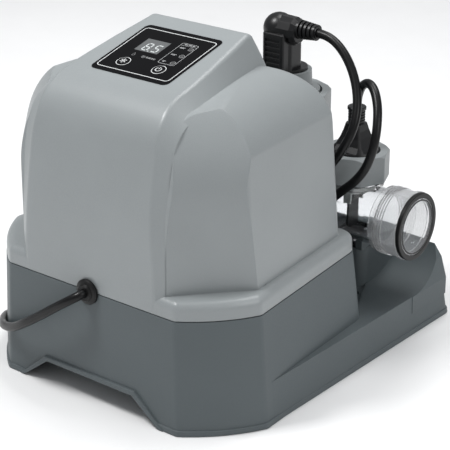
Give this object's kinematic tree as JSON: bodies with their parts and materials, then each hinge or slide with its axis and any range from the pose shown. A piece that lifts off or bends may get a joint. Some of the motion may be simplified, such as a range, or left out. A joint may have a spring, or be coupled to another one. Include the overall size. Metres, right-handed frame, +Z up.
{
  "type": "salt chlorine generator",
  "caption": "Pool salt chlorine generator: control housing with a sloping key panel, clear flow-through cell across its rear deck, two cell leads and a mains cord.",
  "frame": {"origin": "middle of the housing's footprint, on the surface that it stands on", "axes": "+Z up, -Y the front with the key panel's lower edge, +X along the cell towards the flow sensor's end"},
  "size_m": [0.3981, 0.3471, 0.2788],
  "materials": {
    "base_plastic": "satin",
    "cover_plastic": "satin",
    "nut_plastic": "satin",
    "panel_film": "gloss",
    "window_film": "gloss",
    "key_plastic": "gloss",
    "light_pipe": "gloss",
    "clear_plastic": "clear",
    "black_plastic": "satin",
    "cord_sheath": "satin",
    "seal_rubber": "matte",
    "board": "satin",
    "component_black": "satin",
    "capacitor_sleeve": "gloss",
    "terminal_plastic": "satin",
    "copper": "satin",
    "core_steel": "satin",
    "screw_steel": "satin",
    "aluminium": "satin",
    "electrode_metal": "matte",
    "pin_brass": "polished",
    "insert_plastic": "satin"
  },
  "bodies": {
    "root": {"base_housing": "base_plastic", "anchor_bush_right": "base_plastic", "anchor_bush_left": "base_plastic", "bottom_plate": "base_plastic", "plate_screws": "screw_steel", "cover_seal": "seal_rubber", "top_cover": "cover_plastic", "cover_screws": "screw_steel", "panel_overlay": "panel_film", "display_window": "window_film", "display_module": "component_black", "tact_switches": "component_black", "indicator_lights": "light_pipe", "control_board": "board", "board_screws": "screw_steel", "power_board": "board", "power_board_screws": "screw_steel", "transformer_core": "core_steel", "transformer_winding": "copper", "heat_sink": "aluminium", "capacitors": "capacitor_sleeve", "relays": "component_black", "terminal_block": "terminal_plastic", "mains_grommet": "seal_rubber", "mains_cord": "cord_sheath", "mains_cord_coil": "cord_sheath", "mains_cord_tail": "cord_sheath", "coil_tie": "black_plastic", "mains_plug": "black_plastic", "mains_plug_pins": "pin_brass", "cell_lead_gland": "black_plastic", "sensor_lead_gland": "black_plastic", "cell_lead": "cord_sheath", "sensor_lead": "cord_sheath", "cell_plug": "black_plastic", "sensor_plug": "black_plastic", "cell_body": "clear_plastic", "cell_screws": "screw_steel", "port_seal_right": "seal_rubber", "port_seal_left": "seal_rubber", "electrode_cap": "nut_plastic", "electrode_seal": "seal_rubber", "electrode_plates": "electrode_metal", "electrode_terminals": "pin_brass", "sensor_insert": "insert_plastic", "sensor_seal": "seal_rubber", "paddle_pin": "screw_steel", "reed_switch": "component_black"},
    "key_mode": {"button_mode": "key_plastic"},
    "key_power": {"button_power": "key_plastic"},
    "cap_nut": {"electrode_nut": "nut_plastic"},
    "flow_nut": {"sensor_nut": "nut_plastic"},
    "paddle": {"flow_paddle": "black_plastic"}
  },
  "joints": [
    {"name": "button_mode_press", "type": "slide", "parent": "root", "child": "key_mode", "axis": [0, 0.2521, -0.9677], "range_m": [0, 0.0006], "stiffness_N_per_m": 800},
    {"name": "button_power_press", "type": "slide", "parent": "root", "child": "key_power", "axis": [0, 0.2521, -0.9677], "range_m": [0, 0.0006], "stiffness_N_per_m": 800},
    {"name": "electrode_nut_turn", "type": "hinge", "parent": "root", "child": "cap_nut", "pos_m": [0, 0.0975, 0.185], "axis": [0, 0, 1], "range_deg": [0, 420]},
    {"name": "sensor_nut_turn", "type": "hinge", "parent": "root", "child": "flow_nut", "pos_m": [0.073, 0.0975, 0.144], "axis": [0, 0, 1], "range_deg": [0, 420]},
    {"name": "flow_paddle_swing", "type": "hinge", "parent": "root", "child": "paddle", "pos_m": [0.073, 0.0975, 0.1125], "axis": [0, 1, 0], "range_deg": [-35, 0]}
  ]
}
